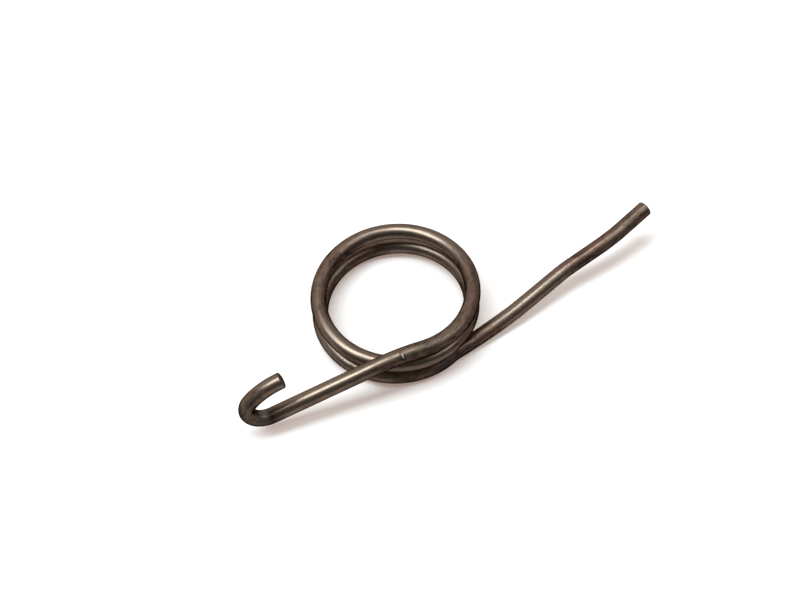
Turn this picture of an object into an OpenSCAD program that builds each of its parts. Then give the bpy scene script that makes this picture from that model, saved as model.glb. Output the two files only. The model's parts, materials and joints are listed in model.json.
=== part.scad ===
// Torsion spring, bent from one length of round steel wire: a straight leg with
// a hook at its end, a coil of two open turns, and a second leg with a few
// slight bends. It lies as it rests on a table: on the last turn of the coil and
// the start of the plain leg, with the axis of the coil a few degrees off upright.
//
// The wire is a chain of straight lengths and true arcs. Each piece starts where
// the one before it stops, in the direction in which that one stops.

/* [Wire] */
// Diameter of the round wire
wire_d = 2.0; // [1.4:0.1:2.4]
// Bevel around the two cut ends
end_bevel = 0.15; // [0.05:0.05:0.4]

/* [Coil] */
// Diameter of the coil, at the middle of the wire
coil_mean_d = 19.0; // [15:0.5:30]
// Angle through which the wire winds, in degrees
coil_turn = 745; // [735:1:765]
// Angle of the upper turn, in degrees
upper_turn = 360; // [330:5:400]
// Angle of the level end of the coil, in degrees
flat_turn = 138; // [100:1:200]
// Gap between the start of the coil and the end of the upper turn
upper_gap = 0.55; // [0.4:0.05:3]
// Gap between the end of the upper turn and the level end below it
lower_gap = 0.6; // [0.4:0.05:3]

/* [Hooked leg] */
// Length of the straight part
hook_leg_len = 13.7; // [8:0.1:40]
// Fall of the leg towards its hook, in degrees
hook_leg_fall = 14; // [0:0.5:16]
// Radius of the bend between coil and leg, at the middle of the wire
hook_leg_root_r = 20; // [5:0.5:25]
// Width inside the tight bend of the hook
hook_gap = 2.4; // [1:0.1:6]
// Angle of that tight bend, in degrees
hook_tight_turn = 148; // [90:1:149]
// Angle through which the whole hook closes, in degrees
hook_close = 176; // [150:1:180]
// Radius of the wide bend that follows the tight one, at the middle of the wire
hook_wide_r = 8; // [5:0.5:15]
// Lean of the hook from upright, towards the coil's side, in degrees
hook_lean = 7; // [-80:1:80]
// Straight length after the hook's bends, up to the cut end
hook_tail_len = 0.9; // [0.5:0.1:6]

/* [Plain leg] */
// Heading where it leaves the coil, in degrees from the hooked leg's line
plain_leg_heading = 14.2; // [5:0.2:20]
// Rise of the leg from the plane of the coil's level end, in degrees
plain_leg_rise = 12.8; // [4:0.2:20]
// Turn of the leg at each of its slight bends, in degrees
leg_kinks = [3, -5.8, 3.5, 4.3]; // [-10:0.1:10]
// Straight length after each slight bend
leg_straights = [7.1, 4.8, 1.2, 4.6]; // [1:0.1:20]
// Radius of the bend between coil and leg, at the middle of the wire
plain_leg_root_r = 4; // [3:0.5:10]
// Radius of the upward bend that follows it
rise_bend_r = 40; // [20:1:60]
// Radius of the slight bends
kink_bend_r = 15; // [5:1:30]

/* [Rest] */
// Lean of the coil's axis from upright as the spring rests on a table, in degrees
rest_lean = 2.8; // [0:0.05:6]
// Heading towards which the axis leans, in degrees from +X
rest_lean_heading = 55; // [0:1:359]

/* [Hidden] */
$fn = 48;

wire_r = wire_d / 2;
coil_r = coil_mean_d / 2;
hook_bend_r = wire_r + hook_gap / 2;
steel = "#6b5f52";

// Most of a turn that one arc of the coil takes, in degrees
arc_limit = 45;
// Every second piece of the wire is thinner by this
join_step = 0.004;
// Length by which the thinner pieces run into their neighbours
join_overlap = 0.05;
// Steps in which a bend is searched for its lowest place, in degrees
height_step = 1;

// Direction with a heading, in degrees from +X, and a slope upwards
function way(heading, slope) =
    [cos(heading) * cos(slope), sin(heading) * cos(slope), sin(slope)];
function unit(v) = v / norm(v);
// Angle between two directions
function turn_between(a, b) = atan2(norm(cross(a, b)), a * b);
// Share of a change that is done, from 0 to 1
function share(x) = min(1, max(0, x));
// Sum of the first count items of a list
function sum_of(list, count) = count == 0 ? 0 : list[count - 1] + sum_of(list, count - 1);

// The two moves of a bending machine: feed the wire, or bend it to a new way
function feed(length) = ["feed", length];
function bend(radius, to) = ["bend", radius, to];

// Place and way of the wire's middle after a move from point p in direction d
function after(move, p, d) =
    move[0] == "feed" ? p + move[1] * d
    : p + move[1] * tan(turn_between(d, move[2]) / 2) * (d + move[2]);
function way_after(move, d) = move[0] == "feed" ? d : move[2];

// Pieces of wire that a list of moves makes: [move, start point, start way]
function pieces(moves, p, d, i = 0) =
    i == len(moves) ? []
    : concat(
        [[moves[i], p, d]],
        pieces(moves, after(moves[i], p, d), way_after(moves[i], d), i + 1)
    );
function last_of(list) = list[len(list) - 1];
function end_point(run) = let (last = last_of(run)) after(last[0], last[1], last[2]);
function end_way(run) = let (last = last_of(run)) way_after(last[0], last[2]);

// Coil, with its axis upright: equal arcs that descend a helix and end level
arc_count = ceil(coil_turn / arc_limit);
arc_turn = coil_turn / arc_count;
// Length along the middle of the wire of one degree of the coil, seen from above
degree_len = 2 * coil_r * tan(arc_turn / 2) / arc_turn;
sloped_turn = coil_turn - flat_turn;
upper_slope = atan((wire_d + upper_gap) / (360 * degree_len));
lower_slope = atan((wire_d + lower_gap) / ((sloped_turn - upper_turn) * degree_len));
// Slope of the wire after a turn of the coil. Each change takes the length of one arc.
function fall_after(turn) =
    let (
        lower = share((turn - upper_turn) / arc_turn + 0.5),
        flat = share((turn - sloped_turn) / arc_turn + 0.5)
    )
    (upper_slope * (1 - lower) + lower_slope * lower) * (1 - flat);
function coil_way(i) = way(i * arc_turn, -fall_after(i * arc_turn));
// Radius that keeps the ends of a tilted arc on the coil's own cylinder
function coil_arc_r(i) =
    let (a = coil_way(i - 1), b = coil_way(i))
    2 * coil_r * tan(arc_turn / 2)
        / (tan(turn_between(a, b) / 2) * (norm([a[0], a[1]]) + norm([b[0], b[1]])));
coil_moves = [for (i = [1:arc_count]) bend(coil_arc_r(i), coil_way(i))];
coil_start = [0, -coil_r, 0];
coil = pieces(coil_moves, coil_start, coil_way(0));

// Hooked leg, from the coil outwards
leg_way = way(180, -hook_leg_fall);
lean_way = way(180, 90 - hook_leg_fall) * cos(hook_lean) + [0, sin(hook_lean), 0];
function hook_way(turned) = leg_way * cos(turned) + lean_way * sin(turned);
hooked_leg = pieces(
    [
        bend(hook_leg_root_r, leg_way),
        feed(hook_leg_len),
        bend(hook_bend_r, hook_way(hook_tight_turn)),
        bend(hook_wide_r, hook_way(hook_close)),
        feed(hook_tail_len)
    ],
    coil_start, -coil_way(0)
);

// Plain leg, from the coil outwards
function leg_heading(kink_count) = plain_leg_heading + sum_of(leg_kinks, kink_count);
plain_leg_moves = concat(
    [
        bend(plain_leg_root_r, way(plain_leg_heading, 0)),
        bend(rise_bend_r, way(plain_leg_heading, plain_leg_rise))
    ],
    [
        for (i = [0:len(leg_kinks) - 1]) each concat(
            leg_kinks[i] == 0 ? [] : [bend(kink_bend_r, way(leg_heading(i + 1), plain_leg_rise))],
            [feed(leg_straights[i])]
        )
    ]
);
plain_leg = pieces(plain_leg_moves, end_point(coil), end_way(coil));

// Rest: the direction that is upwards on the table, as the coil's own axes see it,
// and the lowest place of the wire's middle along it
table_up = way(rest_lean_heading + 180, 90 - rest_lean);
// Place of the wire's middle in a bend, turned degrees after its start
function in_bend(piece, turned) =
    let (d = piece[2], to = piece[0][2], radius = piece[0][1])
    piece[1] + radius * (unit(to - (d * to) * d) * (1 - cos(turned)) + d * sin(turned));
function heights(piece) =
    piece[0][0] == "feed" ? [piece[1] * table_up]
    : [
        for (turned = [0:height_step:turn_between(piece[2], piece[0][2])])
            in_bend(piece, turned) * table_up
    ];
lowest = min([
    for (run = [hooked_leg, coil, plain_leg])
        each concat([end_point(run) * table_up], [for (piece = run) each heights(piece)])
]);
// Move along the coil's axis that puts the lowest place on the floor
lift = (wire_r - lowest) / cos(rest_lean);

// Moves a child from its own axes x, y, z to a place and three ways
module placed(p, x, y, z) {
    multmatrix([
        [x[0], y[0], z[0], p[0]],
        [x[1], y[1], z[1], p[1]],
        [x[2], y[2], z[2], p[2]],
        [0, 0, 0, 1]
    ]) children();
}

// Straight length from p along d, run on by extra at both ends, or with a cut end
module straight(p, d, length, r, extra, is_tip) {
    side = unit(cross(d, [0, 0, 1]));
    bevel = is_tip ? end_bevel : 0;
    far = is_tip ? length : length + extra;
    placed(p, side, cross(d, side), d) rotate_extrude()
        polygon([[0, -extra], [r, -extra], [r, far - bevel], [r - bevel, far], [0, far]]);
}

// Bend of a radius from the way d to the way to, run on by extra at both ends
module arc(p, d, radius, to, r, extra) {
    inward = unit(to - (d * to) * d);
    run_on = extra / radius * 180 / PI;
    placed(p + radius * inward, -inward, d, cross(d, inward))
        rotate([0, 0, -run_on])
            rotate_extrude(angle = turn_between(d, to) + 2 * run_on)
                translate([radius, 0]) circle(r);
}

// Every second piece is thinner by a hair and runs a little into its neighbours,
// so that all of them join into one solid. thin_from is the first such piece.
module wire(run, thin_from) {
    for (i = [0:len(run) - 1]) {
        move = run[i][0];
        is_thin = i % 2 == thin_from;
        r = is_thin ? wire_r - join_step : wire_r;
        extra = is_thin ? join_overlap : 0;
        is_tip = i == len(run) - 1;
        if (move[0] == "feed") straight(run[i][1], run[i][2], move[1], r, extra, is_tip);
        else arc(run[i][1], run[i][2], move[1], move[2], r, extra);
    }
}

module spring_wire() {
    color(steel) rotate(a = rest_lean, v = way(rest_lean_heading + 90, 0)) translate([0, 0, lift]) {
        wire(hooked_leg, 0);
        wire(concat(coil, plain_leg), 1);
    }
}

spring_wire();
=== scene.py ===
"""Looks of the torsion spring: one drawn, brown-oxidised steel wire on a pale floor.

The wire follows the same moves of a bending machine as the part's construction:
lengths that are fed and bends of a given radius. Sizes are in metres and angles in
radians, apart from the values whose comment says millimetres.
"""

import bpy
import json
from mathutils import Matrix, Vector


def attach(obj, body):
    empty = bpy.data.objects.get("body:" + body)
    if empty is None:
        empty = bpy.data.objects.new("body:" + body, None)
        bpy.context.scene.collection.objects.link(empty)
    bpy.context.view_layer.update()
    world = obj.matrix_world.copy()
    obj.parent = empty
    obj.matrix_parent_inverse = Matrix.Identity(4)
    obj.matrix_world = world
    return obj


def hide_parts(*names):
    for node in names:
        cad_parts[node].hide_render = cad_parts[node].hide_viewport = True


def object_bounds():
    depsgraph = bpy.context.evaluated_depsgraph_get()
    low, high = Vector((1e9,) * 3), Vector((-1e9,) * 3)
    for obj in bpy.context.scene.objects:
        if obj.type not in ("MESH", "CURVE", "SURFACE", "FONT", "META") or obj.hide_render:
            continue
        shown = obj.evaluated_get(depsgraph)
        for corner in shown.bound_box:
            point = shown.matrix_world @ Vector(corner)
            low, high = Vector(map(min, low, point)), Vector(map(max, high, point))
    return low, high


bl_info = {
    "name": "Torsion spring",
    "version": (1, 0, 0),
    "blender": (4, 5, 0),
    "location": "View3D > Sidebar > Spring",
    "description": "Bends a round wire into a torsion spring and gives it a drawn steel finish",
    "category": "Object",
}

import json
import math

import bpy
from bpy.props import FloatProperty, FloatVectorProperty, IntProperty, PointerProperty
from mathutils import Matrix, Vector

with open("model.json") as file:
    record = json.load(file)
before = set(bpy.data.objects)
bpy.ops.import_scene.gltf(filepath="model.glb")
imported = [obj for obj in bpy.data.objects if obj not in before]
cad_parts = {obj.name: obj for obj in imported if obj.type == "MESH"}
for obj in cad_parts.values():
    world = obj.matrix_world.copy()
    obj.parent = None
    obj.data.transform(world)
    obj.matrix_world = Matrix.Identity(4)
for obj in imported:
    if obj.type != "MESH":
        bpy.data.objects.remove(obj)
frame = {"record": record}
CAD_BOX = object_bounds()
MM = 0.001
TURN = 2 * math.pi
WHITE = (1.0, 1.0, 1.0)
NODE = "spring_wire"
PIN = next(mount for mount in frame["record"]["mounts"] if mount["kind"] == "pin")

# Most of a turn that one arc of the coil takes
ARC_LIMIT = math.radians(45)
# Number of steps in which each piece of wire is searched for its lowest place
HEIGHT_STEPS = 50
# Number of points on each side over which the tightness of a bend is evened out
BOW_REACH = 9

# Side of the wire on which the bending tool left its mark
MARK_WAY = (-0.05, -0.515, 0.857)
# Length of wire on each side of the mark that has closer points, and their spacing
MARK_REACH = 0.5 * MM
MARK_STEP = 0.04 * MM
# Distances along the wire from the mark's middle between which its dent and the smear of
# thick oxide round it fade out
DENT_LENGTHS = (0.02 * MM, 0.14 * MM)
SMEAR_LENGTHS = (0.1 * MM, 0.45 * MM)
# Cosines of the angle from the marked side between which they set in around the wire
DENT_FACING = (0.976, 0.992)
SMEAR_FACING = (0.72, 0.90)

# Distances from a cut end, in millimetres, of the points that shape its face and its rim
END_POINTS = (0, 0.0002, 0.0004, 0.0006, 0.0008, 0.02, 0.03, 0.045, 0.065, 0.09, 0.12, 0.15)
# Distance from a cut end at which the even spacing of the points starts
END_REACH = 0.22 * MM
# Points that are nearer to each other than this are one point
LEAST_STEP = 0.0001 * MM
# Length of wire in which the face of a cut end closes, and the share of its radius that is
# left at its middle
FACE_DEPTH = 0.0008 * MM
FACE_MIDDLE = 0.004
# Distance from a cut end at which its rounded rim starts
RIM_START = 0.01 * MM
# Length of wire behind a cut end that shows bare metal, and length in which relief sets in
CUT_DEPTH = 0.03 * MM
RELIEF_START = 0.4 * MM

# Length, in the noise's own scale, by which one seed shifts the relief
SEED_SHIFT = 3.7
# Levels of the noise at which the lumps and the draw lines are at the wire's own radius, and
# the height of the lines over that of the lumps
LUMP_LEVEL = 0.62
LINE_LEVEL = 0.60
LINE_HEIGHT = 0.35

# Mean of a noise, and the levels between which each pattern sets in
MEAN = 0.5
TONE_LEVELS = (0.40, 0.60)
SPOT_LEVELS = (0.50, 0.68)
SCUFF_LEVELS = (0.47, 0.60)
STREAK_LEVELS = (0.48, 0.66)
GRAIN_LEVELS = (0.58, 0.74)
# Upward parts of the outward direction between which the painted shade on the flanks and the underside
# fades out
PAINTED_SHADE_FACING = (0.40, 0.82)
# Wire radius over bend radius between which a bend starts to count as a tight one
TIGHTNESS = (0.22, 0.44)

# Stretches that rubbing has burnished: where each starts and stops along the wire, in
# millimetres from the hook's cut end
BURNISHED = ((-2, 3), (11, 24), (46, 62), (75, 94), (104, 118), (134, 146), (160.5, 172))
# Stretches where the oxide is thick
OXIDISED = ((8.6, 11.4), (151, 155))
# Stretches where the oxide is redder
REDDENED = ((88, 96), (148, 157), (171, 190))
# Half the length in which a stretch fades in or out, in millimetres
FADE = 1.2
RED_FADE = 3

# Width of the camera's sensor in millimetres, and the nearest and farthest it sees
SENSOR_WIDTH = 36
SIGHT = (1 * MM, 50)
# Radius of the floor, which reaches the horizon in a low view, and its number of corners
FLOOR_REACH = 20
FLOOR_CORNERS = 64
# Distances from the part between which the floor's glow turns white
GLOW_FADE = (0.2, 0.8)

# Kinds of the sweep's inputs. The path is the swept object, and the operator for the wire
# gives the others their values.
SWEEP_INPUTS = {
    "Path": "NodeSocketGeometry",
    "Wire Radius": "NodeSocketFloat",
    "Sides": "NodeSocketInt",
    "End Bevel": "NodeSocketFloat",
    "Ripple": "NodeSocketFloat",
    "Flattening": "NodeSocketFloat",
    "Mark Depth": "NodeSocketFloat",
    "Mark Place": "NodeSocketFloat",
    "Mark Way": "NodeSocketVector",
    "Seed": "NodeSocketInt",
    "Steel": "NodeSocketMaterial",
}


# ---------------------------------------------------------------- what a user can change


def length(name, description, millimetres):
    """A property for a length, with its default in millimetres."""
    return FloatProperty(
        name=name, description=description, default=millimetres * MM, unit="LENGTH", precision=5
    )


def angle(name, description, degrees):
    """A property for an angle, with its default in degrees."""
    return FloatProperty(
        name=name, description=description, default=math.radians(degrees), unit="ROTATION"
    )


def share(name, description, default):
    """A property for a number from 0 to 1."""
    return FloatProperty(name=name, description=description, default=default, min=0, max=1)


def colour(name, description, default):
    """A property for a colour."""
    return FloatVectorProperty(
        name=name, description=description, default=default, size=3, subtype="COLOR", min=0, max=1
    )


def power(name, description, watts):
    """A property for the power of a lamp."""
    return FloatProperty(name=name, description=description, default=watts, unit="POWER")


def spot(name, description, metres):
    """A property for a place."""
    return FloatVectorProperty(
        name=name, description=description, default=metres, size=3, subtype="TRANSLATION"
    )


def extent(name, description, metres):
    """A property for the width and depth of a lamp."""
    return FloatVectorProperty(
        name=name, description=description, default=metres, size=2, unit="LENGTH"
    )


class WireForm(bpy.types.PropertyGroup):
    """The bends and lengths of the wire."""

    wire_r: length("Wire radius", "Half the diameter of the wire", PIN["dims"]["r_mm"])
    end_bevel: length("End bevel", "Rounding around the two cut ends", 0.15)
    coil_r: length("Coil radius", "Radius of the coil at the middle of the wire", 9.5)
    coil_turn: angle("Coil turn", "Angle through which the wire winds", 745)
    upper_turn: angle("Upper turn", "Angle of the upper turn", 360)
    flat_turn: angle("Flat turn", "Angle of the level end of the coil", 138)
    upper_gap: length("Upper gap", "Gap from the coil's start to the end of its upper turn", 0.55)
    lower_gap: length("Lower gap", "Gap between the upper turn's end and the level end", 0.6)
    hook_leg_len: length("Hooked leg", "Length of the hooked leg's straight part", 13.7)
    hook_leg_fall: angle("Fall", "Fall of the hooked leg towards its hook", 14)
    hook_leg_root_r: length("Hooked leg root", "Bend between the coil and the hooked leg", 20)
    hook_gap: length("Hook gap", "Width inside the tight bend of the hook", 2.4)
    hook_tight_turn: angle("Tight turn", "Angle of that tight bend", 148)
    hook_close: angle("Hook close", "Angle through which the whole hook closes", 176)
    hook_wide_r: length("Wide bend", "Radius of the bend that follows the tight one", 8)
    hook_lean: angle("Hook lean", "Lean of the hook from upright", 7)
    hook_tail_len: length("Hook tail", "Straight length after the hook's bends", 0.9)
    plain_leg_heading: angle("Heading", "Heading of the plain leg where it leaves the coil", 14.2)
    plain_leg_rise: angle("Rise", "Rise of the plain leg from the coil's level end", 12.8)
    plain_leg_root_r: length("Plain leg root", "Bend between the coil and the plain leg", 4)
    rise_bend_r: length("Rise bend", "Upward bend of the plain leg", 40)
    kink_bend_r: length("Slight bends", "Radius of the plain leg's slight bends", 15)
    leg_kinks: FloatVectorProperty(
        name="Kinks",
        description="Turn of the plain leg at each of its slight bends",
        default=[math.radians(degrees) for degrees in (3, -5.8, 3.5, 4.3)],
        size=4,
        unit="ROTATION",
    )
    leg_straights: FloatVectorProperty(
        name="Straights",
        description="Straight length after each slight bend",
        default=[millimetres * MM for millimetres in (7.1, 4.8, 1.2, 4.6)],
        size=4,
        unit="LENGTH",
        precision=5,
    )
    rest_lean: angle("Rest lean", "Lean of the coil's axis from upright at rest", 2.8)
    rest_lean_heading: angle("Lean heading", "Heading towards which the axis leans", 55)


class WireFinish(bpy.types.PropertyGroup):
    """The surface of the wire: its relief, colours, wear and gloss."""

    sides: IntProperty(name="Sides", description="Points around the wire", default=48, min=12)
    step: length("Step", "Spacing of the points along the wire", 0.115)
    seed: IntProperty(name="Seed", description="Seed of the surface relief", default=7)
    inset: length("Inset", "How far the drawn skin stays inside the wire's radius", 0.01)
    ripple: length("Ripple", "Height of the wire's slow unevenness", 0.006)
    relief: length("Relief", "Height of the fine relief", 0.012)
    relief_strength: share("Relief strength", "Strength of the fine relief", 0.30)
    streak_relief: share("Streak relief", "Height of the streaks in the fine relief", 0.50)
    grain_relief: share("Grain relief", "Height of the grain in the fine relief", 0.60)
    scuff_relief: share("Scuff relief", "Height of the scuffs in the fine relief", 0.35)
    mark_place: length("Mark place", "Distance from the hooked leg's straight to the mark", 3.05)
    mark_depth: length("Mark depth", "Depth of the bending tool's mark", 0.03)
    flattening: share("Flattening", "How strongly a tight bend flattens the wire", 0.132)

    oxide: colour("Oxide", "Reddish brown oxide that covers the wire", (0.172, 0.097, 0.072))
    olive_oxide: colour("Olive oxide", "Thinner oxide, olive to straw coloured", (0.168, 0.115, 0.081))
    red_oxide: colour("Red oxide", "Rust coloured oxide of some stretches", (0.165, 0.086, 0.066))
    # Colour of the real thick oxide, and also of the painted shade on the flanks and the underside
    dark_oxide_and_shade: colour("Dark oxide", "Thick oxide of the dark places", (0.032, 0.021, 0.019))
    burnished: colour("Burnished steel", "Steel that rubbing has laid bare", (0.236, 0.182, 0.143))
    bare_steel: colour("Bare steel", "Steel where the oxide is worn off", (0.260, 0.225, 0.185))
    fresh_steel: colour("Fresh steel", "Steel in the bending tool's mark", (0.780, 0.680, 0.560))
    edge_tint: colour("Edge tint", "Reflection of the oxide seen edge-on", (0.20, 0.18, 0.17))

    reddening: share("Reddening", "Red oxide in the redder stretches", 0.40)
    spots: share("Spots", "Thick oxide in spots", 0.35)
    scuffs: share("Scuffs", "Thick oxide in scuffs", 0.60)
    stains: share("Stains", "Thick oxide in the stained stretches", 0.55)
    # Painted shade: how far the flanks and the underside darken by the way they face, not by oxide there
    underside: share("Underside", "Thick oxide on the flanks and the underside", 0.65)
    smear: share("Smear", "Thick oxide round the bending tool's mark", 0.80)
    line_wear: share("Worn lines", "Bare steel in lines along the wire", 0.32)
    grain_wear: share("Worn grain", "Bare steel in fine grains", 0.22)
    bend_wear: share("Worn bends", "Bare steel where the wire bends tightly", 0.35)
    cut_wear: share("Cut ends", "Bare steel on the cut ends", 0.50)
    # Less worn steel where the flanks and the underside carry painted shade
    shade_spares_wear: share("Shelter", "Wear that the flanks and the underside are spared", 0.70)

    satin: share("Satin", "Roughness of the burnished wire", 0.35)
    satin_grain: share("Satin grain", "Roughness that the grain changes there", 0.10)
    mark_roughness: share("Mark roughness", "Roughness that the tool's mark adds", 0.20)
    matt: share("Matt", "Roughness of the oxide", 0.50)
    matt_scuffs: share("Matt scuffs", "Roughness that the scuffs change there", 0.14)
    polish: share("Polish", "Burnished steel on the satin wire where nothing rubs", 0.35)
    # Its loss on the flanks and the underside is part of the painted shade there
    rubbed_polish: share("Rubbed polish", "Burnished steel that rubbing adds and the underside loses", 0.35)
    dullness: share("Dullness", "Matt oxide over the satin wire where nothing rubs", 0.74)
    rubbed_shine: share("Rubbed shine", "Matt oxide that rubbing takes away", 0.60)
    stain_dullness: share("Dull stains", "Matt oxide that the stained stretches add", 0.25)
    patch_dullness: share("Dull patches", "Matt oxide that the patches change", 0.70)
    bend_dullness: share("Dull bends", "Matt oxide that the tight bends add", 0.10)


class Studio(bpy.types.PropertyGroup):
    """Camera, lamps, floor and room."""

    eye: spot("Camera", "Place of the camera", (-21.67 * MM, -68.53 * MM, 119.50 * MM))
    heading: angle("Heading", "Heading of the view, clockwise from +Y", 18.04)
    dip: angle("Dip", "Angle of the view below the horizon", 58.25)
    roll: angle("Roll", "Turn of the camera about its view", -2.90)
    lens: FloatProperty(name="Lens", description="Focal length", default=49.5, unit="CAMERA")
    key_place: spot("Key lamp's place", "Place of the overhead lamp", (-0.14, 0.055, 0.5))
    key_size: extent("Key lamp's size", "Size of the overhead lamp", (0.44, 0.16))
    key_power: power("Key lamp's power", "Power of the overhead lamp", 3.0)
    fill_place: spot("Fill lamp's place", "Place of the lamp in front", (0.29, -0.11, 0.5))
    fill_size: extent("Fill lamp's size", "Size of the lamp in front", (0.26, 0.12))
    fill_power: power("Fill lamp's power", "Power of the lamp in front", 0.73)
    lamp_tint: colour("Lamps", "Colour of both lamps, a little cool", (0.84, 0.955, 1.0))
    floor_tint: colour("Floor", "Colour of the floor", (0.78, 0.78, 0.78))
    floor_glow: colour("Floor glow", "Light that the shadows don't take", (0.29, 0.215, 0.18))
    room_front: colour("Front of the room", "Light from the side of -Y", (0.08, 0.075, 0.07))
    room_back: colour("Back of the room", "Light from the side of +Y", (0.88, 0.83, 0.79))


# ---------------------------------------------------------------- path of the wire


def way(heading, slope):
    """Direction with a heading from +X and a slope upwards."""
    flat = math.cos(slope)
    return Vector((math.cos(heading) * flat, math.sin(heading) * flat, math.sin(slope)))


def turn_between(a, b):
    """Angle between two directions."""
    return math.atan2(a.cross(b).length, a.dot(b))


def done_share(x):
    """Share of a change that is done, from 0 to 1."""
    return min(1, max(0, x))


class Feed:
    """A straight length of wire from a point in a direction."""

    def __init__(self, start, ahead, length):
        self.start = start
        self.ahead = ahead
        self.length = length
        self.bow = Vector((0, 0, 0))

    def at(self, done):
        """Point and direction after a length of this piece."""
        return self.start + self.ahead * done, self.ahead

    def back(self):
        """The same piece, followed the other way."""
        return Feed(self.start + self.ahead * self.length, -self.ahead, self.length)

    def turned(self, turn):
        """The same piece, turned about the origin."""
        return Feed(turn @ self.start, turn @ self.ahead, self.length)


class Bend:
    """A true arc of wire, from a direction to another one."""

    def __init__(self, start, ahead, radius, to):
        self.start = start
        self.ahead = ahead
        self.to = to
        self.radius = radius
        self.inward = (to - ahead * ahead.dot(to)).normalized()
        self.length = radius * turn_between(ahead, to)
        self.bow = self.inward / radius

    def at(self, done):
        """Point and direction after a length of this piece."""
        turned = done / self.radius
        centre = self.start + self.inward * self.radius
        spoke = self.ahead * math.sin(turned) - self.inward * math.cos(turned)
        ahead = self.ahead * math.cos(turned) + self.inward * math.sin(turned)
        return centre + spoke * self.radius, ahead

    def back(self):
        """The same piece, followed the other way."""
        end, ahead = self.at(self.length)
        return Bend(end, -ahead, self.radius, -self.ahead)

    def turned(self, turn):
        """The same piece, turned about the origin."""
        return Bend(turn @ self.start, turn @ self.ahead, self.radius, turn @ self.to)


def chain(moves, start, ahead):
    """Pieces that a list of moves makes: a length to feed, or a radius and a new way."""
    run = []
    for move in moves:
        piece = Bend(start, ahead, *move) if isinstance(move, tuple) else Feed(start, ahead, move)
        run.append(piece)
        start, ahead = piece.at(piece.length)
    return run


def coil_moves(form):
    """Equal arcs that descend a helix and end level, with the axis of the coil upright,
    and the way in which the first of them starts."""
    # A whole number of arcs stays that number when rounding makes it a little larger
    count = math.ceil(form.coil_turn / ARC_LIMIT - 1e-6)
    arc = form.coil_turn / count
    chord = 2 * form.coil_r * math.tan(arc / 2)
    per_radian = chord / arc
    sloped = form.coil_turn - form.flat_turn
    wire_d = 2 * form.wire_r
    upper = math.atan((wire_d + form.upper_gap) / (TURN * per_radian))
    lower = math.atan((wire_d + form.lower_gap) / ((sloped - form.upper_turn) * per_radian))

    def coil_way(i):
        low = done_share((i * arc - form.upper_turn) / arc + 0.5)
        flat = done_share((i * arc - sloped) / arc + 0.5)
        return way(i * arc, -(upper * (1 - low) + lower * low) * (1 - flat))

    moves = []
    for i in range(1, count + 1):
        a, b = coil_way(i - 1), coil_way(i)
        radius = chord / (math.tan(turn_between(a, b) / 2) * (a.xy.length + b.xy.length))
        moves.append((radius, b))
    return moves, coil_way(0)


def hook_bend_r(form):
    """Radius of the hook's tight bend, at the middle of the wire."""
    return form.wire_r + form.hook_gap / 2


def wire_pieces(form):
    """All pieces of the wire in order, from the hook's cut end to the plain leg's."""
    top = Vector((0, -form.coil_r, 0))
    moves, first_way = coil_moves(form)
    coil = chain(moves, top, first_way)

    leg_way = way(math.pi, -form.hook_leg_fall)
    up = way(math.pi, math.pi / 2 - form.hook_leg_fall)
    lean = up * math.cos(form.hook_lean) + Vector((0, math.sin(form.hook_lean), 0))

    def hook_way(turned):
        return leg_way * math.cos(turned) + lean * math.sin(turned)

    hooked_leg = chain(
        [
            (form.hook_leg_root_r, leg_way),
            form.hook_leg_len,
            (hook_bend_r(form), hook_way(form.hook_tight_turn)),
            (form.hook_wide_r, hook_way(form.hook_close)),
            form.hook_tail_len,
        ],
        top,
        -first_way,
    )

    heading = form.plain_leg_heading
    leg_moves = [
        (form.plain_leg_root_r, way(heading, 0)),
        (form.rise_bend_r, way(heading, form.plain_leg_rise)),
    ]
    for kink, straight in zip(form.leg_kinks, form.leg_straights):
        heading += kink
        leg_moves += [(form.kink_bend_r, way(heading, form.plain_leg_rise)), straight]
    plain_leg = chain(leg_moves, *coil[-1].at(coil[-1].length))

    return [piece.back() for piece in reversed(hooked_leg)] + coil + plain_leg


def straight_end(form):
    """Length of wire from the hook's cut end to the end of the hooked leg's straight part."""
    tight_bend = form.hook_tight_turn * hook_bend_r(form)
    wide_bend = (form.hook_close - form.hook_tight_turn) * form.hook_wide_r
    return form.hook_tail_len + tight_bend + wide_bend + form.hook_leg_len


def at_rest(run, form):
    """The pieces, leant as they rest on a table and moved along the coil's axis until
    their lowest place is on the floor."""
    turn = Matrix.Rotation(form.rest_lean, 3, way(form.rest_lean_heading + math.pi / 2, 0))
    run = [piece.turned(turn) for piece in run]
    lowest = min(
        piece.at(piece.length * i / HEIGHT_STEPS)[0].z
        for piece in run
        for i in range(HEIGHT_STEPS + 1)
    )
    lift = turn @ Vector((0, 0, (form.wire_r - lowest) / math.cos(form.rest_lean)))
    for piece in run:
        piece.start = piece.start + lift
    return run


def stations(total, step, mark):
    """Distances along the wire: close together at the cut ends and at the tool's mark."""
    ends = [distance * MM for distance in END_POINTS]
    places = set(ends) | {total - distance for distance in ends}
    even = total - 2 * END_REACH
    count = round(even / step)
    places |= {END_REACH + even * i / count for i in range(count + 1)}
    near = round(MARK_REACH / MARK_STEP)
    places |= {mark + MARK_STEP * i for i in range(-near, near + 1)}
    kept = []
    for place in sorted(places):
        if not kept or place - kept[-1] > LEAST_STEP:
            kept.append(place)
    return kept


def covered(place, stretches, fade=FADE):
    """How far a place is inside one of the stretches, from 0 to 1, with soft ends."""
    depth = max(min(place / MM - low, high - place / MM) for low, high in stretches)
    return done_share((depth + fade) / fade / 2)


def smoothed(vectors, reach):
    """Running mean of a list of vectors, so that a bend flattens the wire gradually."""
    result = []
    for i in range(len(vectors)):
        near = vectors[max(0, i - reach) : i + reach + 1]
        result.append(sum(near, Vector((0, 0, 0))) / len(near))
    return result


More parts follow.
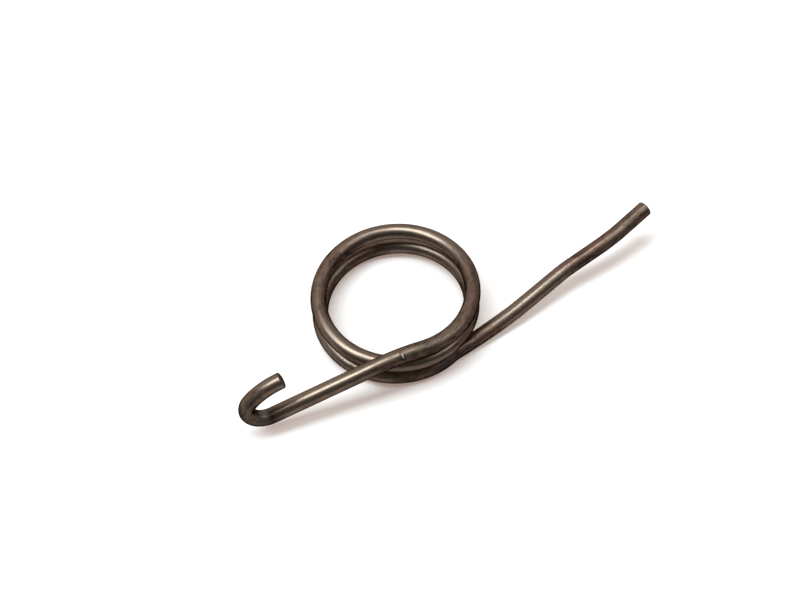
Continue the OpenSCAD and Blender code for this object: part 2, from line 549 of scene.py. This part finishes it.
def wire_path(form, finish, mark):
    """An edge mesh along the middle of the wire. Its points know where they are along the
    wire and in which of its stretches, and which way and how tightly the wire bends."""
    run = at_rest(wire_pieces(form), form)
    total = sum(piece.length for piece in run)
    places = stations(total, finish.step, mark)
    points = []
    bows = []
    index = 0
    passed = 0.0
    for place in places:
        while index < len(run) - 1 and place > passed + run[index].length:
            passed += run[index].length
            index += 1
        points.append(run[index].at(place - passed)[0])
        bows.append(run[index].bow * form.wire_r)
    mesh = bpy.data.meshes.new("wire_path")
    mesh.from_pydata(points, [(i, i + 1) for i in range(len(points) - 1)], [])
    numbers = {
        "along": places,
        "total": [total] * len(places),
        "rubbed": [covered(place, BURNISHED) for place in places],
        "stained": [covered(place, OXIDISED) for place in places],
        "reddened": [covered(place, REDDENED, RED_FADE) for place in places],
    }
    for name, values in numbers.items():
        mesh.attributes.new(name, "FLOAT", "POINT").data.foreach_set("value", values)
    flat = [part for bow in smoothed(bows, BOW_REACH) for part in bow]
    mesh.attributes.new("bow", "FLOAT_VECTOR", "POINT").data.foreach_set("vector", flat)
    return new_object("wire_path", mesh)


# ---------------------------------------------------------------- node trees


class Value:
    """A number or another link in a node tree. Calculating with a number adds Math nodes."""

    def __init__(self, tree, socket):
        self.tree = tree
        self.socket = socket

    def __add__(self, other):
        return self.tree.math("ADD", self, other)

    def __sub__(self, other):
        return self.tree.math("SUBTRACT", self, other)

    def __rsub__(self, other):
        return self.tree.math("SUBTRACT", other, self)

    def __mul__(self, other):
        return self.tree.math("MULTIPLY", self, other)

    def __truediv__(self, other):
        return self.tree.math("DIVIDE", self, other)

    def __rtruediv__(self, other):
        return self.tree.math("DIVIDE", other, self)

    __radd__ = __add__
    __rmul__ = __mul__

    def clamped(self):
        """This number, kept between 0 and 1."""
        return self.tree.math("ADD", self, 0.0, clamp=True)

    def step_up(self, low, high):
        """0 below low, 1 above high, and a smooth rise between them."""
        return self.tree.node(
            "ShaderNodeMapRange",
            {"interpolation_type": "SMOOTHSTEP"},
            {"Value": self, "From Min": low, "From Max": high},
        ).out("Result")


def find_socket(sockets, name):
    """A node's socket by its number, or the one in use that has a name."""
    if isinstance(name, int):
        return sockets[name]
    return next(socket for socket in sockets if socket.name == name and socket.enabled)


class Made:
    """A node that a Tree has made."""

    def __init__(self, tree, node):
        self.tree = tree
        self.node = node

    def out(self, name=0):
        """One of its outputs, as a number to calculate with or a link."""
        return Value(self.tree, find_socket(self.node.outputs, name))


class Tree:
    """Adds nodes to a node tree and links them."""

    def __init__(self, node_tree):
        self.node_tree = node_tree

    def node(self, kind, settings=None, inputs=None):
        """A node of a kind, with its settings, then the values or links of its sockets."""
        node = self.node_tree.nodes.new(kind)
        for name, value in (settings or {}).items():
            setattr(node, name, value)
        for name, value in (inputs or {}).items():
            socket = find_socket(node.inputs, name)
            if isinstance(value, Value):
                self.node_tree.links.new(value.socket, socket)
            else:
                socket.default_value = value
        return Made(self, node)

    def math(self, operation, *numbers, clamp=False):
        """Result of a Math node."""
        settings = {"operation": operation, "use_clamp": clamp}
        return self.node("ShaderNodeMath", settings, dict(enumerate(numbers))).out("Value")

    def measure(self, operation, *vectors):
        """A number that Vector Math works out, such as a length or a dot product."""
        settings = {"operation": operation}
        return self.node("ShaderNodeVectorMath", settings, dict(enumerate(vectors))).out("Value")

    def join(self, x, y, z):
        """Three numbers as a vector."""
        return self.node("ShaderNodeCombineXYZ", None, {"X": x, "Y": y, "Z": z}).out("Vector")

    def split(self, vector):
        """The three numbers of a vector."""
        parts = self.node("ShaderNodeSeparateXYZ", None, {0: vector})
        return parts.out("X"), parts.out("Y"), parts.out("Z")

    def blend(self, factor, a, b):
        """A colour between two colours, or between links that carry colours."""
        inputs = {0: factor}
        for socket, part in ((6, a), (7, b)):
            inputs[socket] = part if isinstance(part, Value) else (*part, 1.0)
        return self.node("ShaderNodeMix", {"data_type": "RGBA"}, inputs).out("Result")

    def skin_noise(self, skin, along, around, detail, roughness=0.5, shift=0):
        """Noise from 0 to 1 on the wire's skin, which is the place along the wire in
        millimetres and the two parts of the place around it, each with its own scale."""
        place, x, y = skin
        return self.node(
            "ShaderNodeTexNoise",
            {"noise_dimensions": "3D"},
            {
                "Vector": self.join(place * along + shift, x * around, y * around),
                "Scale": 1.0,
                "Detail": detail,
                "Roughness": roughness,
            },
        ).out("Fac")


def new_material(name):
    """An empty node material and its tree."""
    material = bpy.data.materials.new(name)
    material.use_nodes = True
    material.node_tree.nodes.clear()
    return material, Tree(material.node_tree)


def new_object(name, data):
    """An object at the origin that shows its data in the scene."""
    made = bpy.data.objects.new(name, data)
    bpy.context.scene.collection.objects.link(made)
    return made


# ---------------------------------------------------------------- sweep of the wire


def sweep_tree():
    """Geometry tree that sweeps a round, slightly uneven wire along the path."""
    group = bpy.data.node_groups.new("sweep_wire", "GeometryNodeTree")
    for name, kind in SWEEP_INPUTS.items():
        group.interface.new_socket(name=name, in_out="INPUT", socket_type=kind)
    group.interface.new_socket(name="Wire", in_out="OUTPUT", socket_type="NodeSocketGeometry")

    tree = Tree(group)
    given = tree.node("NodeGroupInput")
    radius = given.out("Wire Radius")
    bevel = given.out("End Bevel")

    def stored(geometry, name, value, kind="FLOAT"):
        return tree.node(
            "GeometryNodeStoreNamedAttribute",
            {"data_type": kind, "domain": "POINT"},
            {"Geometry": geometry, "Name": name, "Value": value},
        ).out("Geometry")

    def read(name, kind="FLOAT"):
        made = tree.node("GeometryNodeInputNamedAttribute", {"data_type": kind}, {"Name": name})
        return made.out("Attribute")

    # Rounded rim of the cut ends, and a face that closes to their middle
    along = read("along")
    end_gap = tree.math("MINIMUM", along, read("total") - along)
    rim = (1 - (end_gap - RIM_START) / bevel).clamped()
    rim_r = radius - bevel * (1 - tree.math("SQRT", 1 - rim * rim))
    face = (end_gap / FACE_DEPTH).clamped()
    swept_r = rim_r * (FACE_MIDDLE + (1 - FACE_MIDDLE) * face)

    path = tree.node("GeometryNodeMeshToCurve", None, {"Mesh": given.out("Path")}).out("Curve")
    ring = tree.node(
        "GeometryNodeCurvePrimitiveCircle", {"mode": "RADIUS"}, {"Resolution": given.out("Sides")}
    ).out("Curve")
    ring = stored(ring, "around", tree.node("GeometryNodeInputPosition").out(), "FLOAT_VECTOR")
    wire = tree.node(
        "GeometryNodeCurveToMesh",
        None,
        {"Curve": path, "Profile Curve": ring, "Scale": swept_r, "Fill Caps": True},
    ).out("Mesh")

    # Slow lumps and fine draw lines. They lie mostly inwards, and fade out at the cut ends.
    x, y, _ = tree.split(read("around", "FLOAT_VECTOR"))
    skin = (along / MM, x, y)
    seed = given.out("Seed") * SEED_SHIFT
    lumps = tree.skin_noise(skin, along=0.35, around=0.5, detail=3, shift=seed) - LUMP_LEVEL
    lines = tree.skin_noise(skin, along=0.25, around=5, detail=2, shift=seed) - LINE_LEVEL
    uneven = (lumps + lines * LINE_HEIGHT) * given.out("Ripple")
    uneven = uneven * end_gap.step_up(0.0, RELIEF_START)

    # Tight bends are flattened on their inside and their outside
    outward = tree.node("GeometryNodeInputNormal").out()
    side = tree.measure("DOT_PRODUCT", read("bow", "FLOAT_VECTOR"), outward)
    pressed = side * side * given.out("Flattening") * radius

    # One small dent that the bending tool left, with a smear of thick oxide round it
    from_mark = tree.math("ABSOLUTE", along - given.out("Mark Place"))
    towards = tree.measure("DOT_PRODUCT", outward, given.out("Mark Way"))
    dent = (1 - from_mark.step_up(*DENT_LENGTHS)) * towards.step_up(*DENT_FACING)
    smear = (1 - from_mark.step_up(*SMEAR_LENGTHS)) * towards.step_up(*SMEAR_FACING)

    move = tree.node(
        "ShaderNodeVectorMath",
        {"operation": "SCALE"},
        {0: outward, "Scale": uneven - pressed - dent * given.out("Mark Depth")},
    ).out("Vector")
    wire = tree.node("GeometryNodeSetPosition", None, {"Geometry": wire, "Offset": move}).out(
        "Geometry"
    )

    # What the steel reads: painted shade on the flanks and the underside, the dent, its smear, and the cut
    # ends
    _, _, height = tree.split(outward)
    wire = stored(wire, "painted_shade", 1 - height.step_up(*PAINTED_SHADE_FACING))
    wire = stored(wire, "dent", dent)
    wire = stored(wire, "smear", smear)
    wire = stored(wire, "cut", 1 - end_gap.step_up(0.0, CUT_DEPTH))

    smooth = tree.node("GeometryNodeSetShadeSmooth", None, {"Geometry": wire}).out("Geometry")
    real = tree.node("GeometryNodeRealizeInstances", None, {"Geometry": smooth}).out("Geometry")
    clad = tree.node(
        "GeometryNodeSetMaterial", None, {"Geometry": real, "Material": given.out("Steel")}
    ).out("Geometry")
    tree.node("NodeGroupOutput", None, {"Wire": clad})
    return group


def swept(path, name, inputs):
    """The path's sweep as a plain mesh object. inputs are the tree's inputs by name."""
    group = sweep_tree()
    modifier = path.modifiers.new("sweep", "NODES")
    modifier.node_group = group
    for item in group.interface.items_tree:
        if item.in_out == "INPUT" and item.name in inputs:
            modifier[item.identifier] = inputs[item.name]
    path.update_tag()
    graph = bpy.context.evaluated_depsgraph_get()
    mesh = bpy.data.meshes.new_from_object(path.evaluated_get(graph))
    mesh.name = name
    path.modifiers.remove(modifier)
    bpy.data.objects.remove(path)
    return new_object(name, mesh)


# ---------------------------------------------------------------- finishes


def drawn_steel(finish):
    """Drawn spring steel: patchy brown oxide over burnished wire, worn thin in streaks, with painted shade
    darkening its flanks and underside.
    """
    material, tree = new_material("drawn_steel")

    def read(name, out="Fac"):
        return tree.node("ShaderNodeAttribute", {"attribute_name": name}).out(out)

    # What the path and the sweep stored on the wire
    x, y, _ = tree.split(read("around", "Vector"))
    skin = (read("along") / MM, x, y)
    bent = tree.measure("LENGTH", read("bow", "Vector")).step_up(*TIGHTNESS)
    stained = read("stained")
    painted_shade = read("painted_shade")
    rub = read("rubbed")
    scar = read("dent")

    # Patterns on the skin, from broad ones to fine ones
    patches = tree.skin_noise(skin, along=0.28, around=0.8, detail=3, roughness=0.55)
    tones = tree.skin_noise(skin, along=0.16, around=0.7, detail=2, shift=31)
    streaks = tree.skin_noise(skin, along=0.22, around=7, detail=3, roughness=0.55)
    scuffs = tree.skin_noise(skin, along=1.1, around=2.4, detail=5, roughness=0.7)
    grain = tree.skin_noise(skin, along=2.0, around=8, detail=4, roughness=0.65)

    # Colour: two tones of oxide, thick oxide in places, painted shade on the flanks and the underside, and
    # bare steel where it is worn
    base = tree.blend(tones.step_up(*TONE_LEVELS), finish.oxide, finish.olive_oxide)
    base = tree.blend(read("reddened") * finish.reddening, base, finish.red_oxide)
    dark = patches.step_up(*SPOT_LEVELS) * finish.spots
    dark = dark + scuffs.step_up(*SCUFF_LEVELS) * finish.scuffs
    # The stained stretches are real thick oxide; the flanks and the underside get painted shade towards the
    # dark colour
    dark = dark + stained * finish.stains + painted_shade * finish.underside
    dark = dark + read("smear") * finish.smear
    base = tree.blend(dark.clamped(), base, finish.dark_oxide_and_shade)
    bare = streaks.step_up(*STREAK_LEVELS) * finish.line_wear
    bare = bare + grain.step_up(*GRAIN_LEVELS) * finish.grain_wear + bent * finish.bend_wear
    # Painted shade keeps worn steel off the flanks and the underside
    bare = bare * (1 - painted_shade * finish.shade_spares_wear)
    bare = tree.math("MAXIMUM", bare, read("cut") * finish.cut_wear)
    base = tree.blend(bare.clamped(), base, finish.bare_steel)

    height = streaks * finish.streak_relief + grain * finish.grain_relief
    height = height + scuffs * finish.scuff_relief
    bump = tree.node(
        "ShaderNodeBump",
        None,
        {"Strength": finish.relief_strength, "Distance": finish.relief, "Height": height},
    ).out("Normal")

    def metal(roughness, tone):
        """Metal of a roughness and a tone, with fresh steel in the dent."""
        return tree.node(
            "ShaderNodeBsdfPrincipled",
            None,
            {
                "Base Color": tree.blend(scar, tone, finish.fresh_steel),
                "Metallic": 1.0,
                "Roughness": roughness,
                "Specular Tint": (*finish.edge_tint, 1.0),
                "Normal": bump,
            },
        ).out("BSDF")

    # Gloss: burnished wire shows between matt oxide, with less burnish on the flanks and the underside as
    # painted shade
    polish = finish.polish + (rub - painted_shade) * finish.rubbed_polish
    shine = finish.satin + (grain - MEAN) * finish.satin_grain + scar * finish.mark_roughness
    satin = metal(shine, tree.blend(polish.clamped(), base, finish.burnished))
    matt = metal(finish.matt + (scuffs - MEAN) * finish.matt_scuffs, base)
    dull = finish.dullness - rub * finish.rubbed_shine + stained * finish.stain_dullness
    dull = dull + (patches - MEAN) * finish.patch_dullness + bent * finish.bend_dullness
    steel = tree.node("ShaderNodeMixShader", None, {0: dull.clamped(), 1: satin, 2: matt})
    tree.node("ShaderNodeOutputMaterial", None, {"Surface": steel.out("Shader")})
    return material


def pale_floor(studio):
    """Matt floor that looks white to the camera and to the wire, and keeps shadows."""
    material, tree = new_material("pale_floor")
    rays = tree.node("ShaderNodeLightPath")
    seen = rays.out("Is Camera Ray") + rays.out("Is Glossy Ray") + rays.out("Is Transmission Ray")
    # Far from the part, where the lamps don't reach, the floor is white up to the horizon
    gap = tree.measure("LENGTH", tree.node("ShaderNodeTexCoord").out("Object"))
    tint = tree.blend(gap.step_up(*GLOW_FADE), studio.floor_glow, WHITE)
    matt = tree.node("ShaderNodeBsdfDiffuse", None, {"Color": (*studio.floor_tint, 1.0)})
    glow = tree.node("ShaderNodeEmission", None, {"Color": tint, "Strength": seen.clamped()})
    both = tree.node("ShaderNodeAddShader", None, {0: matt.out("BSDF"), 1: glow.out("Emission")})
    tree.node("ShaderNodeOutputMaterial", None, {"Surface": both.out("Shader")})
    return material


# ---------------------------------------------------------------- stage


def make_camera(studio):
    """The camera, from its place, heading, dip and roll."""
    data = bpy.data.cameras.new("camera")
    data.lens = studio.lens
    data.sensor_width = SENSOR_WIDTH
    data.clip_start, data.clip_end = SIGHT
    look = way(math.pi / 2 - studio.heading, -studio.dip)
    right = look.cross(Vector((0, 0, 1))).normalized()
    up = right.cross(look)
    side = right * math.cos(studio.roll) + up * math.sin(studio.roll)
    top = up * math.cos(studio.roll) - right * math.sin(studio.roll)
    turn = Matrix((side, top, -look)).transposed().to_4x4()
    camera = new_object("camera", data)
    camera.matrix_world = Matrix.Translation(studio.eye) @ turn
    bpy.context.scene.camera = camera


def make_lamp(name, place, size, watts, tint):
    """A soft lamp at a place, facing the origin, with its width along X."""
    data = bpy.data.lights.new(name, "AREA")
    data.shape = "RECTANGLE"
    data.size, data.size_y = size
    data.energy = watts
    data.color = tint
    back = Vector(place).normalized()
    height = back.cross(Vector((1, 0, 0))).normalized()
    turn = Matrix((height.cross(back), height, back)).transposed().to_4x4()
    new_object(name, data).matrix_world = Matrix.Translation(place) @ turn


def make_floor(studio):
    """A round floor just below the part, wide enough to reach the horizon."""
    corners = []
    for i in range(FLOOR_CORNERS):
        corner = way(TURN * i / FLOOR_CORNERS, 0) * FLOOR_REACH
        corners.append((corner.x, corner.y, CAD_BOX[0].z))
    mesh = bpy.data.meshes.new("floor")
    mesh.from_pydata(corners, [], [range(FLOOR_CORNERS)])
    mesh.materials.append(pale_floor(studio))
    floor = new_object("floor", mesh)


def make_room(studio):
    """Soft light from the room, which is darker in front than at the back."""
    world = bpy.data.worlds.new("room")
    world.use_nodes = True
    world.node_tree.nodes.clear()
    tree = Tree(world.node_tree)
    _, towards_back, _ = tree.split(tree.node("ShaderNodeTexCoord").out("Generated"))
    # From 0 in front to 1 at the back
    back = (towards_back + 1) / 2
    tint = tree.blend(back * back, studio.room_front, studio.room_back)
    light = tree.node("ShaderNodeBackground", None, {"Color": tint})
    tree.node("ShaderNodeOutputWorld", None, {"Surface": light.out("Background")})
    bpy.context.scene.world = world


# ---------------------------------------------------------------- operators and panel


class SPRING_OT_wire(bpy.types.Operator):
    """Bend the wire and give it its drawn steel finish"""

    bl_idname = "spring.wire"
    bl_label = "Spring wire"

    def execute(self, context):
        form = context.scene.spring_form
        finish = context.scene.spring_finish
        mark = straight_end(form) + finish.mark_place
        inputs = {
            "Wire Radius": form.wire_r - finish.inset,
            "Sides": finish.sides,
            "End Bevel": form.end_bevel,
            "Ripple": finish.ripple,
            "Flattening": finish.flattening,
            "Mark Depth": finish.mark_depth,
            "Mark Place": mark,
            "Mark Way": MARK_WAY,
            "Seed": finish.seed,
            "Steel": drawn_steel(finish),
        }
        wire = swept(wire_path(form, finish, mark), "drawn_wire", inputs)
        if not wire.data.polygons:
            raise RuntimeError("the sweep made no faces")
        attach(wire, "root")
        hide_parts(NODE)
        return {"FINISHED"}


class SPRING_OT_stage(bpy.types.Operator):
    """Set up the camera, the floor, the lamps and the room"""

    bl_idname = "spring.stage"
    bl_label = "Stage"

    def execute(self, context):
        studio = context.scene.spring_studio
        tint = studio.lamp_tint
        make_camera(studio)
        make_floor(studio)
        make_room(studio)
        make_lamp("key", studio.key_place, studio.key_size, studio.key_power, tint)
        make_lamp("fill", studio.fill_place, studio.fill_size, studio.fill_power, tint)
        context.scene.view_settings.view_transform = "Standard"
        return {"FINISHED"}


class SPRING_PT_maker(bpy.types.Panel):
    """Sizes and finish of the spring, and what makes it"""

    bl_idname = "SPRING_PT_maker"
    bl_label = "Torsion spring"
    bl_space_type = "VIEW_3D"
    bl_region_type = "UI"
    bl_category = "Spring"

    def draw(self, context):
        for group, name in GROUPS.items():
            settings = getattr(context.scene, name)
            box = self.layout.box()
            for setting in group.__annotations__:
                box.prop(settings, setting)
        for operator in OPERATORS:
            self.layout.operator(operator.bl_idname)


GROUPS = {WireForm: "spring_form", WireFinish: "spring_finish", Studio: "spring_studio"}
OPERATORS = (SPRING_OT_wire, SPRING_OT_stage)
CLASSES = (*GROUPS, *OPERATORS, SPRING_PT_maker)


def register():
    """Adds the classes and the scene's settings."""
    for cls in CLASSES:
        bpy.utils.register_class(cls)
    for group, name in GROUPS.items():
        setattr(bpy.types.Scene, name, PointerProperty(type=group))


def unregister():
    """Takes the settings and the classes away."""
    for name in GROUPS.values():
        delattr(bpy.types.Scene, name)
    for cls in reversed(CLASSES):
        bpy.utils.unregister_class(cls)


def main():
    """Makes the spring and the stage."""
    register()
    bpy.ops.spring.wire()
    bpy.ops.spring.stage()


if __name__ == "__main__":
    main()
